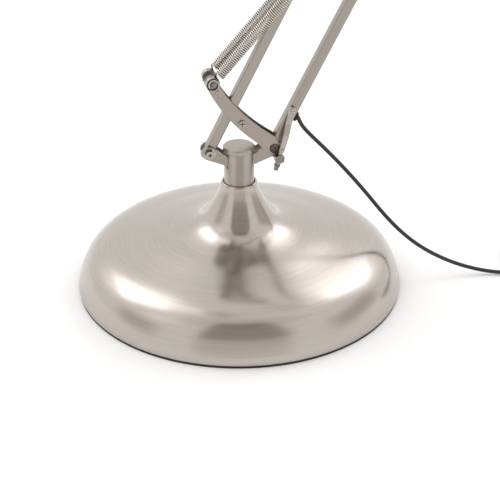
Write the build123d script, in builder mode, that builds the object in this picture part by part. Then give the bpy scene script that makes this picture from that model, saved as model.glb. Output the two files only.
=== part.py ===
"""Spring-balanced architect lamp with a wide round base, two parallelogram arms and a bell shade.

Frame: origin on the floor under the post's axis, +Z up, the lower arms lean towards +X.
Units are millimetres. The linkage is flat and lies in the XZ plane, centred on Y = 0.
"""

import os
from math import cos, pi, radians, sin, tan

from build123d import *

os.makedirs("parts", exist_ok=True)

# ---------------------------------------------------------------- driving dimensions
BASE_R = 200.0
SHEET = 1.5
PAD_T = 3.0
PAD_R = 199.4
HEM = 8.0
LIP_Z = 138.0
LIP_IN_R = 19.0
# outside of the base, from the neck's lip to the floor edge: radius, height
BASE_PROFILE = [
    (21.6, LIP_Z),
    (23.6, 130.0),
    (27.8, 120.0),
    (33.2, 110.0),
    (38.2, 101.0),
    (43.0, 92.0),
    (48.5, 85.0),
    (59.0, 79.3),
    (74.0, 75.5),
    (95.0, 72.0),
    (120.0, 66.0),
    (148.0, 59.3),
    (170.0, 51.6),
    (181.3, 44.0),
    (189.3, 34.5),
    (194.5, 24.0),
    (197.7, 14.6),
    (199.4, 8.4),
    (200.0, PAD_T),
]
BASE_SLOPES = [(0.2, -1.0), (0.0, -1.0)]

WEIGHT_R = 165.0
WEIGHT_TOP_Z = 20.0
RECESS_R = 17.0
RECESS_TOP_Z = 13.0
STEM_R = 14.0
STUD_R = 6.0
JOURNAL_R = 10.0
SHOULDER_Z = 96.0
STEM_TOP_Z = 158.0

POST_R = 18.0
POST_BORE_R = 16.0
POST_FOOT_Z = 100.0
POST_TOP_Z = 178.5
CAP_R = 19.2
CAP_TOP_Z = 184.0
CORE_FOOT_Z = 148.0
CORE_BORE_TOP_Z = 166.0
BUSH_R = 12.0
SET_SCREW_Z = 159.9
SET_SCREW_R = 1.35
SET_SCREW_ANGLES = [-152.0, -32.0, 88.0]

# linkage
TUBE = 12.0
TUBE_WALL = 1.2
PLATE_T = 2.25
PLATE_IN = 6.75
PLATE_OUT = PLATE_IN + PLATE_T
SLOT_FOOT_Z = 161.6
LOWER_LEAN = 63.0
UPPER_LEAN = 120.0
ARM_L = 700.0
ARM_OVERHANG = 8.0
BOLT_R = 3.0
RUNNING = 0.05
OPEN_PIVOT_GAP = 0.3
BUSH_WALL_R = 4.2
BUSH_HALF = 6.5
WASHER_R = 7.4
HEX_FLAT_R = 5.0

PIVOT_Z = 180.3
FRONT_PIVOT = (-37.2, PIVOT_Z)
REAR_PIVOT = (41.3, PIVOT_Z)
SPRING_PIN = (-33.0, 270.5)
STOPS = [(2.3, 215.7), (-25.7, 255.5)]
STOP_HEAD_R = [4.2, 3.4]
STOP_HEAD_T = [1.6, 0.7]
STAY_FOOT = (46.4, 168.9)
STAY_ON_ARM = 51.8
STAY_ASIDE = 2.4
ELBOW_LIFT = 48.0
SPRING_REACH = 226.0
HEAD_BOOM = 100.0
HEAD_DROP = 8.0

# springs
SPRING_Y = 13.5
SPRING_R = 6.3
SPOOL_R = 6.3
SPOOL_L = 6.4
PIN_R = 2.5
PIN_REACH = 17.5
SPRING_GAP = 12.5

# head
SHADE_SHEET = 1.2
SHADE_DROP = 36.0
SHADE_H = 150.0
# outside of the shade, down from its crown: radius, depth below the crown
SHADE_PROFILE = [
    (26.0, 0.0),
    (27.5, 22.0),
    (34.0, 42.0),
    (52.0, 59.0),
    (84.0, 73.0),
    (113.0, 93.0),
    (131.0, 118.0),
    (138.5, 140.0),
    (140.0, SHADE_H),
]

# mains cord
CORD_R = 2.4
COIL_CENTRE = (381.54, -28.96)
COIL_IN_R = 17.4
COIL_OUT_R = 38.4
COIL_LAYERS = 2
CORD_RUN = [
    (71.7, 0.0, 214.1),
    (74.8, -0.9, 204.7),
    (89.2, -3.2, 188.5),
    (112.1, -8.0, 165.0),
    (147.0, -15.0, 124.5),
    (186.0, -24.0, 73.0),
    (221.0, -32.0, 40.0),
    (262.0, -41.0, 17.0),
    (304.0, -50.5, 4.4),
    (341.0, -60.0, 2.4),
    (373.1, -67.04, 2.4),
]


def heading(angle):
    """Unit direction in the XZ plane, angle in degrees up from +X."""
    return (cos(radians(angle)), sin(radians(angle)))


def along(point, direction, distance):
    """The XZ point at a distance from another along a direction."""
    return (point[0] + distance * direction[0], point[1] + distance * direction[1])


def at_y(y):
    """The XZ plane at a given Y; extruding from it goes towards -Y."""
    return Plane.XZ.offset(-y)


def radial_plane(angle):
    """The upright plane through the origin that faces an angle counted from +X."""
    outward = Vector(cos(radians(angle)), sin(radians(angle)), 0)
    return Plane(origin=(0, 0, 0), x_dir=(-outward.Y, outward.X, 0), z_dir=outward)


def inset(points, amount):
    """Points moved square to the outline, towards the axis and down."""
    moved = []
    for i, (r, z) in enumerate(points):
        before = points[max(i - 1, 0)]
        after = points[min(i + 1, len(points) - 1)]
        run = Vector(after[0] - before[0], after[1] - before[1]).normalized()
        moved.append((r + amount * run.Y, z - amount * run.X))
    return moved


LOWER_DIR = heading(LOWER_LEAN)
UPPER_DIR = heading(UPPER_LEAN)
ELBOW_FRONT = along(FRONT_PIVOT, LOWER_DIR, ARM_L)
ELBOW_REAR = along(REAR_PIVOT, LOWER_DIR, ARM_L)
MIRROR_X = ELBOW_FRONT[0] + ELBOW_REAR[0]
UPPER_Z = ELBOW_FRONT[1] + ELBOW_LIFT


def elbow_twin(point):
    """The place on the elbow plates that mirrors a place on the post's bracket."""
    centre_x = FRONT_PIVOT[0] + REAR_PIVOT[0]
    return (MIRROR_X / 2 + centre_x / 2 - point[0], UPPER_Z + point[1] - PIVOT_Z)


MAIN_PIVOT = elbow_twin(FRONT_PIVOT)
PARALLEL_PIVOT = elbow_twin(REAR_PIVOT)
ELBOW_PIN = elbow_twin(SPRING_PIN)
HEAD_MAIN = along(MAIN_PIVOT, UPPER_DIR, ARM_L)
HEAD_PARALLEL = along(PARALLEL_PIVOT, UPPER_DIR, ARM_L)
HEAD_PIVOT = (HEAD_PARALLEL[0] - HEAD_BOOM, HEAD_PARALLEL[1] - HEAD_DROP)
FRONT_ARM_PIN = along(FRONT_PIVOT, LOWER_DIR, SPRING_REACH)
MAIN_ARM_PIN = along(MAIN_PIVOT, UPPER_DIR, SPRING_REACH)
LOWER_SIDE = (sin(radians(LOWER_LEAN)), -cos(radians(LOWER_LEAN)))
STAY_HEAD = along(along(REAR_PIVOT, LOWER_DIR, STAY_ON_ARM), LOWER_SIDE, -STAY_ASIDE)
CROWN_Z = HEAD_PIVOT[1] - SHADE_DROP


# ---------------------------------------------------------------- base
with BuildPart() as base_shell:
    with BuildSketch(Plane.XZ):
        with BuildLine():
            outer = Spline(BASE_PROFILE, tangents=BASE_SLOPES)
            lining = inset(BASE_PROFILE, SHEET)[:-1] + [(BASE_R - SHEET, PAD_T + SHEET)]
            inner = Spline(lining, tangents=BASE_SLOPES)
            Line(outer @ 0, inner @ 0)
            Polyline(
                inner @ 1,
                (BASE_R - SHEET - HEM, PAD_T + SHEET),
                (BASE_R - SHEET - HEM, PAD_T),
                outer @ 1,
            )
        make_face()
        # the lip is turned in towards the post
        with Locations(((LIP_IN_R + 21.0) / 2, LIP_Z - SHEET / 2)):
            Rectangle(21.0 - LIP_IN_R, SHEET)
    revolve(axis=Axis.Z)

with BuildPart() as floor_pad:
    with BuildSketch(Plane.XY):
        Circle(PAD_R)
    extrude(amount=PAD_T)

with BuildPart() as base_weight:
    with BuildSketch(Plane.XY.offset(PAD_T)):
        Circle(WEIGHT_R)
    extrude(amount=WEIGHT_TOP_Z - PAD_T)
    chamfer(base_weight.edges().group_by(Axis.Z)[-1], length=2.0)
    with BuildSketch(Plane.XY.offset(PAD_T)):
        Circle(RECESS_R)
    extrude(amount=RECESS_TOP_Z - PAD_T, mode=Mode.SUBTRACT)
    with BuildSketch(Plane.XY.offset(PAD_T)):
        Circle(STUD_R + 0.1)
    extrude(amount=WEIGHT_TOP_Z, mode=Mode.SUBTRACT)

with BuildPart() as stem:
    with BuildSketch(Plane.XY.offset(PAD_T + 1.0)):
        Circle(STUD_R)
    extrude(amount=WEIGHT_TOP_Z - PAD_T - 1.0)
    with BuildSketch(Plane.XY.offset(WEIGHT_TOP_Z)):
        Circle(STEM_R)
    extrude(amount=SHOULDER_Z - WEIGHT_TOP_Z)
    with BuildSketch(Plane.XY.offset(SHOULDER_Z)):
        Circle(JOURNAL_R)
    extrude(amount=STEM_TOP_Z - SHOULDER_Z)
    chamfer(stem.edges().group_by(Axis.Z)[-1], length=1.0)

with BuildPart() as stem_nut:
    with BuildSketch(Plane.XY.offset(RECESS_TOP_Z - 7.5)):
        RegularPolygon(radius=9.5, side_count=6, major_radius=False)
        Circle(STUD_R + 0.02, mode=Mode.SUBTRACT)
    extrude(amount=7.5)

with BuildPart() as neck_bush:
    with BuildSketch(Plane.XY.offset(SHOULDER_Z)):
        Circle(POST_R)
        Circle(JOURNAL_R + 0.02, mode=Mode.SUBTRACT)
    extrude(amount=POST_FOOT_Z - SHOULDER_Z - 0.2)
    with BuildSketch(Plane.XY.offset(POST_FOOT_Z - 0.2)):
        Circle(POST_BORE_R - RUNNING)
        Circle(JOURNAL_R + 0.02, mode=Mode.SUBTRACT)
    extrude(amount=30.0)

# ---------------------------------------------------------------- turning post
with BuildPart() as post_sleeve:
    with BuildSketch(Plane.XY.offset(POST_FOOT_Z)):
        Circle(POST_R)
        Circle(POST_BORE_R, mode=Mode.SUBTRACT)
    extrude(amount=POST_TOP_Z - POST_FOOT_Z)
    with BuildSketch(Plane.XY.offset(SLOT_FOOT_Z)):
        with Locations((0, PLATE_IN + PLATE_T / 2), (0, -PLATE_IN - PLATE_T / 2)):
            Rectangle(3 * POST_R, PLATE_T + 0.2)
    extrude(amount=POST_TOP_Z - SLOT_FOOT_Z, mode=Mode.SUBTRACT)
    for angle in SET_SCREW_ANGLES:
        with BuildSketch(radial_plane(angle)):
            with Locations((0, SET_SCREW_Z)):
                Circle(SET_SCREW_R)
        extrude(amount=POST_R + 1.0, mode=Mode.SUBTRACT)

with BuildPart() as post_core:
    with BuildSketch(Plane.XY.offset(CORE_FOOT_Z)):
        Circle(POST_BORE_R - RUNNING)
    extrude(amount=POST_TOP_Z - 0.1 - CORE_FOOT_Z)
    with BuildSketch(Plane.XY.offset(CORE_FOOT_Z)):
        Circle(BUSH_R)
    extrude(amount=CORE_BORE_TOP_Z - CORE_FOOT_Z, mode=Mode.SUBTRACT)
    with BuildSketch(Plane.XY.offset(SLOT_FOOT_Z)):
        with Locations((0, PLATE_IN + PLATE_T / 2), (0, -PLATE_IN - PLATE_T / 2)):
            Rectangle(3 * POST_R, PLATE_T + 0.2)
    extrude(amount=POST_TOP_Z - SLOT_FOOT_Z, mode=Mode.SUBTRACT)
    for angle in SET_SCREW_ANGLES:
        with BuildSketch(radial_plane(angle)):
            with Locations((0, SET_SCREW_Z)):
                Circle(SET_SCREW_R)
        extrude(amount=POST_R + 1.0, mode=Mode.SUBTRACT)

with BuildPart() as top_bush:
    with BuildSketch(Plane.XY.offset(CORE_FOOT_Z)):
        Circle(BUSH_R)
        Circle(JOURNAL_R + RUNNING, mode=Mode.SUBTRACT)
    extrude(amount=9.5)

with BuildPart() as set_screws:
    for angle in SET_SCREW_ANGLES:
        with BuildSketch(radial_plane(angle).offset(BUSH_R + 0.2)):
            with Locations((0, SET_SCREW_Z)):
                Circle(SET_SCREW_R - 0.02)
        extrude(amount=POST_R - BUSH_R - 1.4)

with BuildPart() as post_cap:
    with BuildSketch(Plane.XY.offset(POST_TOP_Z)):
        Circle(CAP_R)
    extrude(amount=CAP_TOP_Z - POST_TOP_Z)
    chamfer(post_cap.edges().group_by(Axis.Z)[-1], length=1.0)
    chamfer(post_cap.edges().group_by(Axis.Z)[0], length=0.4)


# ---------------------------------------------------------------- linkage plates
def band_outline(place):
    """Closed outline of the curved band that carries the spring pin; place maps bracket points."""
    knuckle = (49.6, 181.5)
    heel = (44.0, 173.5)
    inner_corner = (22.0, 188.1)
    with BuildSketch(Plane.XY) as band:
        with BuildLine():
            top = ThreePointArc(place((-25.0, 266.0)), place((3.2, 228.3)), place((41.9, 195.4)))
            bottom = ThreePointArc(place(inner_corner), place((-9.0, 217.5)), place((-39.5, 265.0)))
            Polyline(top @ 1, place(knuckle), place(heel), place((30.0, 175.0)), bottom @ 0)
            Line(bottom @ 1, top @ 0)
        make_face()
        with Locations(place(SPRING_PIN)):
            Circle(8.7)
    return band.sketch


def link_outline(first, second, r_first, r_second):
    """A strip with two round ends."""
    with BuildSketch(Plane.XY) as strip:
        with Locations(first):
            Circle(r_first)
        with Locations(second):
            Circle(r_second)
        make_hull()
    return strip.sketch


def bracket_plate(y_back, with_stay_ear):
    """One of the two plates that pass through the post and carry both lower arms."""
    wing_root_left = (-16.0, 168.0)
    wing_root_right = (16.0, 168.0)
    outline = band_outline(lambda point: point)
    outline += link_outline(FRONT_PIVOT, wing_root_left, 8.3, 5.3)
    outline += link_outline(REAR_PIVOT, wing_root_right, 8.5, 6.2)
    outline += link_outline(wing_root_left, wing_root_right, 5.3, 6.2)
    if with_stay_ear:
        outline += link_outline(REAR_PIVOT, STAY_FOOT, 8.5, 4.8)
    with BuildPart() as plate:
        with BuildSketch(at_y(y_back)):
            add(outline)
            with Locations(FRONT_PIVOT, REAR_PIVOT):
                Circle(BOLT_R + 0.02, mode=Mode.SUBTRACT)
            with Locations(SPRING_PIN):
                Circle(PIN_R + 0.02, mode=Mode.SUBTRACT)
            with Locations(*STOPS):
                Circle(2.0 + 0.02, mode=Mode.SUBTRACT)
            if with_stay_ear:
                with Locations(STAY_FOOT):
                    Circle(PIN_R + RUNNING, mode=Mode.SUBTRACT)
        extrude(amount=PLATE_T)
    return plate.part


def elbow_plates_part():
    """The two elbow plates: the post bracket's curved band, mirrored, on a four-pivot web."""
    corners = [ELBOW_FRONT, ELBOW_REAR, MAIN_PIVOT, PARALLEL_PIVOT]
    with BuildSketch(Plane.XY) as web:
        with Locations(*corners):
            Circle(8.5)
        make_hull()
    window_z = (ELBOW_FRONT[1] + UPPER_Z) / 2
    with BuildPart() as plates:
        for y_back in (PLATE_OUT, -PLATE_IN):
            with BuildSketch(at_y(y_back)):
                add(web.sketch)
                add(band_outline(elbow_twin))
                with Locations((MIRROR_X / 2, window_z)):
                    SlotOverall(34.0, 16.0, mode=Mode.SUBTRACT)
                with Locations(*corners):
                    Circle(BOLT_R + 0.02, mode=Mode.SUBTRACT)
                with Locations(ELBOW_PIN):
                    Circle(PIN_R + 0.02, mode=Mode.SUBTRACT)
            extrude(amount=PLATE_T)
    return plates.part


def head_plates_part():
    """The two straight plates that join the upper arms to the shade's pivot."""
    with BuildPart() as plates:
        for y_back in (PLATE_OUT, -PLATE_IN):
            with BuildSketch(at_y(y_back)):
                with Locations(HEAD_MAIN, HEAD_PARALLEL, HEAD_PIVOT):
                    Circle(8.5)
                make_hull()
                with Locations(HEAD_MAIN, HEAD_PARALLEL, HEAD_PIVOT):
                    Circle(BOLT_R + 0.02, mode=Mode.SUBTRACT)
            extrude(amount=PLATE_T)
    return plates.part


# ---------------------------------------------------------------- fasteners along Y
def pivot_bolts_part(points):
    """Hex-head bolts through both plates, head in front, with a cross recess in each head."""
    head_y = PLATE_OUT + 1.0
    with BuildPart() as bolts:
        with BuildSketch(at_y(-head_y)):
            with Locations(*points):
                RegularPolygon(radius=HEX_FLAT_R, side_count=6, major_radius=False)
        extrude(amount=4.0)
        with BuildSketch(at_y(head_y + 6.0)):
            with Locations(*points):
                Circle(BOLT_R)
        extrude(amount=2 * head_y + 6.0)
        with BuildSketch(at_y(-head_y - 2.5)):
            with Locations(*points):
                Rectangle(5.0, 1.1)
                Rectangle(1.1, 5.0)
        extrude(amount=2.0, mode=Mode.SUBTRACT)
    return bolts.part


def pivot_nuts_part(points):
    """Hex nuts behind the rear plate."""
    with BuildPart() as nuts:
        with BuildSketch(at_y(PLATE_OUT + 6.0)):
            with Locations(*points):
                RegularPolygon(radius=HEX_FLAT_R, side_count=6, major_radius=False)
                Circle(BOLT_R + 0.02, mode=Mode.SUBTRACT)
        extrude(amount=5.0)
    return nuts.part


def pivot_washers_part(points):
    """Plain washers outside both plates."""
    with BuildPart() as washers:
        for y_back in (PLATE_OUT + 1.0, -PLATE_OUT):
            with BuildSketch(at_y(y_back)):
                with Locations(*points):
                    Circle(WASHER_R)
                    Circle(BOLT_R + 0.02, mode=Mode.SUBTRACT)
            extrude(amount=1.0)
    return washers.part


def spring_pin_part(point):
    """A cross pin with a spool outside each plate, where the springs' end turns sit."""
    with BuildPart() as pin:
        with BuildSketch(at_y(PIN_REACH)):
            with Locations(point):
                Circle(PIN_R)
        extrude(amount=2 * PIN_REACH)
        for y_back in (PLATE_OUT + 0.3 + SPOOL_L, -PLATE_OUT - 0.3):
            with BuildSketch(at_y(y_back)):
                with Locations(point):
                    Circle(SPOOL_R)
            extrude(amount=SPOOL_L)
    return pin.part


# ---------------------------------------------------------------- arms
def arm_tube_part(foot, direction, cross_pin):
    """A square tube drilled for the bushes of its two pivots and, if it has one, its spring pin."""
    start = along(foot, direction, -ARM_OVERHANG)
    tube_plane = Plane(
        origin=(start[0], 0, start[1]),
        x_dir=(0, 1, 0),
        z_dir=(direction[0], 0, direction[1]),
    )
    with BuildPart() as tube:
        with BuildSketch(tube_plane):
            RectangleRounded(TUBE, TUBE, 1.4)
            RectangleRounded(TUBE - 2 * TUBE_WALL, TUBE - 2 * TUBE_WALL, 0.4, mode=Mode.SUBTRACT)
        extrude(amount=ARM_L + 2 * ARM_OVERHANG)
        with BuildSketch(Plane.XZ):
            with Locations(foot, along(foot, direction, ARM_L)):
                Circle(BUSH_WALL_R)
        extrude(amount=TUBE, both=True, mode=Mode.SUBTRACT)
        if cross_pin:
            with BuildSketch(Plane.XZ):
                with Locations(cross_pin):
                    Circle(PIN_R + 0.02)
            extrude(amount=TUBE, both=True, mode=Mode.SUBTRACT)
    return tube.part


def arm_bushes_part(foot, direction, top_gap):
    """A bush at each end of an arm; an open pivot's bore is a little larger."""
    ends = [(foot, RUNNING), (along(foot, direction, ARM_L), top_gap)]
    with BuildPart() as bushes:
        for centre, gap in ends:
            with BuildSketch(Plane.XZ):
                with Locations(centre):
                    Circle(BUSH_WALL_R - 0.01)
                    Circle(BOLT_R + gap, mode=Mode.SUBTRACT)
            extrude(amount=BUSH_HALF, both=True)
    return bushes.part


def spring_part(lower, upper, y):
    """Outer shape of one tension spring: its coil and the thin hook wire at each end."""
    run = Vector(upper[0] - lower[0], 0, upper[1] - lower[1])
    foot = Vector(lower[0], y, lower[1])
    direction = run.normalized()
    with BuildPart() as spring:
        with BuildSketch(Plane(origin=foot + direction * SPRING_GAP, z_dir=direction)):
            Circle(SPRING_R)
        extrude(amount=run.length - 2 * SPRING_GAP)
        with BuildSketch(Plane(origin=foot + direction * (SPOOL_R + 0.5), z_dir=direction)):
            Circle(1.0)
        extrude(amount=run.length - 2 * (SPOOL_R + 0.5))
    return spring.part


front_lower_tube = arm_tube_part(FRONT_PIVOT, LOWER_DIR, FRONT_ARM_PIN)
upper_main_tube = arm_tube_part(MAIN_PIVOT, UPPER_DIR, MAIN_ARM_PIN)
upper_parallel_tube = arm_tube_part(PARALLEL_PIVOT, UPPER_DIR, None)

# the rear lower arm also takes the mains lead and the stay's screw
GROMMET_ON_ARM = 44.0
GROMMET_R = 4.0
GROMMET_FLANGE_R = 5.8
GROMMET_PROUD = 3.8
STAY_SCREW_R = 2.0
STAY_Y = -13.0
STAY_TOP_Y = -8.6
STAY_T = 2.8
SCREW_SEAT_Y = STAY_T / 2 - STAY_TOP_Y
grommet_centre = along(REAR_PIVOT, LOWER_DIR, GROMMET_ON_ARM)
grommet_plane = Plane(
    origin=(grommet_centre[0], 0, grommet_centre[1]),
    z_dir=(LOWER_SIDE[0], 0, LOWER_SIDE[1]),
)
rear_tube_blank = arm_tube_part(REAR_PIVOT, LOWER_DIR, None)

with BuildPart() as rear_lower_tube:
    add(rear_tube_blank)
    with BuildSketch(grommet_plane.offset(2.0)):
        Circle(GROMMET_R + 0.02)
    extrude(amount=TUBE, mode=Mode.SUBTRACT)
    with BuildSketch(at_y(-2.0)):
        with Locations(STAY_HEAD):
            Circle(STAY_SCREW_R + 0.02)
    extrude(amount=TUBE, mode=Mode.SUBTRACT)

with BuildPart() as cord_grommet:
    with BuildSketch(grommet_plane.offset(TUBE / 2)):
        Circle(GROMMET_FLANGE_R)
    extrude(amount=GROMMET_PROUD)
    fillet(cord_grommet.edges().filter_by(GeomType.CIRCLE), radius=0.8)
    with BuildSketch(grommet_plane.offset(TUBE / 2 - TUBE_WALL)):
        Circle(GROMMET_R)
    extrude(amount=TUBE_WALL)

with BuildPart() as lower_lead:
    lead_foot = along(REAR_PIVOT, LOWER_DIR, STAY_ON_ARM + 5.0)
    with BuildSketch(Plane(origin=(lead_foot[0], 0, lead_foot[1]), z_dir=(LOWER_DIR[0], 0, LOWER_DIR[1]))):
        Circle(CORD_R)
    extrude(amount=ARM_L - STAY_ON_ARM - 20.0)

with BuildPart() as stay_screw:
    with BuildSketch(at_y(-3.0)):
        with Locations(STAY_HEAD):
            Circle(STAY_SCREW_R)
    extrude(amount=SCREW_SEAT_Y - 3.0)
    with BuildSketch(at_y(-SCREW_SEAT_Y)):
        with Locations(STAY_HEAD):
            Circle(2.9)
    extrude(amount=1.2)
    fillet(stay_screw.edges().filter_by(GeomType.CIRCLE).group_by(Axis.Y)[0], radius=0.5)
    with BuildSketch(at_y(-SCREW_SEAT_Y - 0.6)):
        with Locations(STAY_HEAD):
            Rectangle(6.0, 0.9)
    extrude(amount=1.0, mode=Mode.SUBTRACT)
    with BuildSketch(at_y(-TUBE / 2)):
        with Locations(STAY_HEAD):
            Circle(3.3)
    extrude(amount=-STAY_TOP_Y - STAY_T / 2 - TUBE / 2 - 0.1)

# ---------------------------------------------------------------- adjustable stay
STUD_R = 2.9
STUD_LEN = 15.5
stay_run = Vector(STAY_FOOT[0] - STAY_HEAD[0], STAY_FOOT[1] - STAY_HEAD[1])
stay_dir = stay_run.normalized()
stay_side = Vector(-stay_dir.Y, stay_dir.X)


def on_stay(distance, offset):
    """The XZ point at a distance down the stay and an offset to its side."""
    point = Vector(*STAY_HEAD) + stay_dir * distance + stay_side * offset
    return (point.X, point.Y)


strap_end = stay_run.length - 8.6
stud_start = Vector(*STAY_HEAD) + stay_dir * (strap_end - 4.0)
stud_plane = Plane(origin=(stud_start.X, STAY_Y, stud_start.Y), z_dir=(stay_dir.X, 0, stay_dir.Y))
joggle_plane = Plane(
    origin=(STAY_HEAD[0], 0, STAY_HEAD[1]),
    x_dir=(stay_dir.X, 0, stay_dir.Y),
    z_dir=(-stay_dir.Y, 0, stay_dir.X),
)

with BuildPart() as stay_rod:
    # seen from the front, a tapered strap; seen from its side, it steps forward past the bracket
    with BuildSketch(at_y(STAY_TOP_Y + STAY_T / 2)):
        with BuildLine():
            Polyline(
                on_stay(0, 4.0), on_stay(strap_end, 3.2), on_stay(strap_end, -3.2), on_stay(0, -4.0), close=True
            )
        make_face()
        with Locations(STAY_HEAD):
            Circle(4.0)
            Circle(STAY_SCREW_R + RUNNING, mode=Mode.SUBTRACT)
    extrude(amount=STAY_TOP_Y - STAY_Y + STAY_T)
    with BuildSketch(joggle_plane):
        with BuildLine():
            Polyline(
                (-6.0, STAY_TOP_Y + STAY_T / 2),
                (18.5, STAY_TOP_Y + STAY_T / 2),
                (31.5, STAY_Y + STAY_T / 2),
                (strap_end + 1.0, STAY_Y + STAY_T / 2),
                (strap_end + 1.0, STAY_Y - STAY_T / 2),
                (31.0, STAY_Y - STAY_T / 2),
                (18.0, STAY_TOP_Y - STAY_T / 2),
                (-6.0, STAY_TOP_Y - STAY_T / 2),
                close=True,
            )
        make_face()
    extrude(amount=TUBE, both=True, mode=Mode.INTERSECT)
    with BuildSketch(stud_plane):
        Circle(STUD_R)
    extrude(amount=stay_run.length - strap_end + 4.0 + STUD_LEN)

with BuildPart() as stay_nut:
    nut_at = stay_run.length + 8.0
    with BuildSketch(stud_plane.offset(nut_at - strap_end + 4.0)):
        Circle(3.9)
        Circle(STUD_R + 0.02, mode=Mode.SUBTRACT)
    extrude(amount=2.0)

with BuildPart() as stay_trunnion:
    with BuildSketch(at_y(-PLATE_IN + 0.4)):
        with Locations(STAY_FOOT):
            Circle(PIN_R)
    extrude(amount=PLATE_T + 0.7)
    with BuildSketch(at_y(-PLATE_OUT - 0.3)):
        with Locations(STAY_FOOT):
            RegularPolygon(radius=5.4, side_count=6, major_radius=False, rotation=24.0)
    extrude(amount=8.2)
    with BuildSketch(stud_plane):
        Circle(STUD_R + 0.4)
    extrude(amount=60.0, mode=Mode.SUBTRACT)

# the rear arm's pivot has flat heads, which leave room for the stay
with BuildPart() as rear_pivot_rivet:
    with BuildSketch(at_y(PLATE_OUT)):
        with Locations(REAR_PIVOT):
            Circle(BOLT_R)
    extrude(amount=2 * PLATE_OUT)
    for y_back in (PLATE_OUT + 0.9, -PLATE_OUT):
        with BuildSketch(at_y(y_back)):
            with Locations(REAR_PIVOT):
                Circle(5.9)
        extrude(amount=0.9)

# ---------------------------------------------------------------- stops
with BuildPart() as stop_spacers:
    with BuildSketch(Plane.XZ):
        with Locations(*STOPS):
            Circle(4.0)
            Circle(2.02, mode=Mode.SUBTRACT)
    extrude(amount=PLATE_IN, both=True)

with BuildPart() as stop_screws:
    with BuildSketch(at_y(PLATE_OUT + 0.5)):
        with Locations(*STOPS):
            Circle(2.0)
    extrude(amount=2 * PLATE_OUT + 0.5)
    for stop, head_r, head_t in zip(STOPS, STOP_HEAD_R, STOP_HEAD_T):
        with BuildSketch(at_y(-PLATE_OUT)):
            with Locations(stop):
                Circle(head_r)
        extrude(amount=head_t)
        with BuildSketch(at_y(-PLATE_OUT - head_t / 2)):
            with Locations(stop):
                Rectangle(1.4 * head_r, 1.0)
                Rectangle(1.0, 1.4 * head_r)
        extrude(amount=head_t, mode=Mode.SUBTRACT)

# ---------------------------------------------------------------- head
HEAD_X = HEAD_PIVOT[0]
KNUCKLE_R = 8.0
NIPPLE_R = 5.0
HOLDER_R = 19.0
HOLDER_L = 52.0
SOCKET_R = 13.6
BULB_NECK_R = 13.0
BULB_R = 30.0
BULB_L = 104.0
head_axis = Axis((HEAD_X, 0, 0), (0, 0, 1))


def shade_outline(points):
    """Shade profile points placed in the XZ plane."""
    return [(HEAD_X + r, CROWN_Z - depth) for r, depth in points]


with BuildPart() as shade:
    shade_lining = inset([(r, -d) for r, d in SHADE_PROFILE], SHADE_SHEET)
    shade_lining = [(r, -z) for r, z in shade_lining[1:-1]]
    shade_lining = [(26.0 - SHADE_SHEET, SHADE_SHEET)] + shade_lining + [(140.0 - SHADE_SHEET, SHADE_H)]
    with BuildSketch(Plane.XZ):
        with BuildLine():
            skin = Spline(shade_outline(SHADE_PROFILE), tangents=[(0.0, -1.0), (0.05, -1.0)])
            inside = Spline(shade_outline(shade_lining), tangents=[(0.0, -1.0), (0.05, -1.0)])
            Line(skin @ 1, inside @ 1)
            Polyline(
                inside @ 0,
                (HEAD_X + NIPPLE_R + 0.1, CROWN_Z - SHADE_SHEET),
                (HEAD_X + NIPPLE_R + 0.1, CROWN_Z),
                skin @ 0,
            )
        make_face()
    revolve(axis=head_axis)

with BuildPart() as head_knuckle:
    with BuildSketch(Plane.XZ):
        with Locations(HEAD_PIVOT):
            Circle(KNUCKLE_R)
    extrude(amount=BUSH_HALF, both=True)
    with BuildSketch(Plane.XY.offset(CROWN_Z + 3.0)):
        with Locations((HEAD_X, 0)):
            Circle(NIPPLE_R + 1.0)
    extrude(amount=SHADE_DROP - 3.0)
    with BuildSketch(Plane.XY.offset(CROWN_Z)):
        with Locations((HEAD_X, 0)):
            Circle(11.0)
    extrude(amount=3.0)
    with BuildSketch(Plane.XY.offset(CROWN_Z - 8.0)):
        with Locations((HEAD_X, 0)):
            Circle(NIPPLE_R)
    extrude(amount=8.0)
    with BuildSketch(Plane.XZ):
        with Locations(HEAD_PIVOT):
            Circle(BOLT_R + RUNNING)
    extrude(amount=TUBE, both=True, mode=Mode.SUBTRACT)

with BuildPart() as lampholder:
    with BuildSketch(Plane.XY.offset(CROWN_Z - SHADE_SHEET - HOLDER_L)):
        with Locations((HEAD_X, 0)):
            Circle(HOLDER_R)
    extrude(amount=HOLDER_L)
    fillet(lampholder.edges().group_by(Axis.Z)[-1], radius=3.0)
    with BuildSketch(Plane.XY.offset(CROWN_Z - SHADE_SHEET - HOLDER_L)):
        with Locations((HEAD_X, 0)):
            Circle(SOCKET_R)
    extrude(amount=28.0, mode=Mode.SUBTRACT)
    with BuildSketch(Plane.XY.offset(CROWN_Z - 9.0)):
        with Locations((HEAD_X, 0)):
            Circle(NIPPLE_R + 0.02)
    extrude(amount=10.0, mode=Mode.SUBTRACT)

bulb_top = CROWN_Z - SHADE_SHEET - HOLDER_L + 26.0
with BuildPart() as bulb:
    with BuildSketch(Plane.XZ):
        with BuildLine():
            neck = Polyline(
                (HEAD_X, bulb_top),
                (HEAD_X + BULB_NECK_R, bulb_top),
                (HEAD_X + BULB_NECK_R, bulb_top - 27.0),
            )
            swell = Spline(
                neck @ 1,
                (HEAD_X + BULB_R, bulb_top - BULB_L + BULB_R),
                tangents=[(0.1, -1.0), (0.0, -1.0)],
            )
            RadiusArc(swell @ 1, (HEAD_X, bulb_top - BULB_L), BULB_R)
            Line((HEAD_X, bulb_top - BULB_L), neck @ 0)
        make_face()
    revolve(axis=head_axis)

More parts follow.
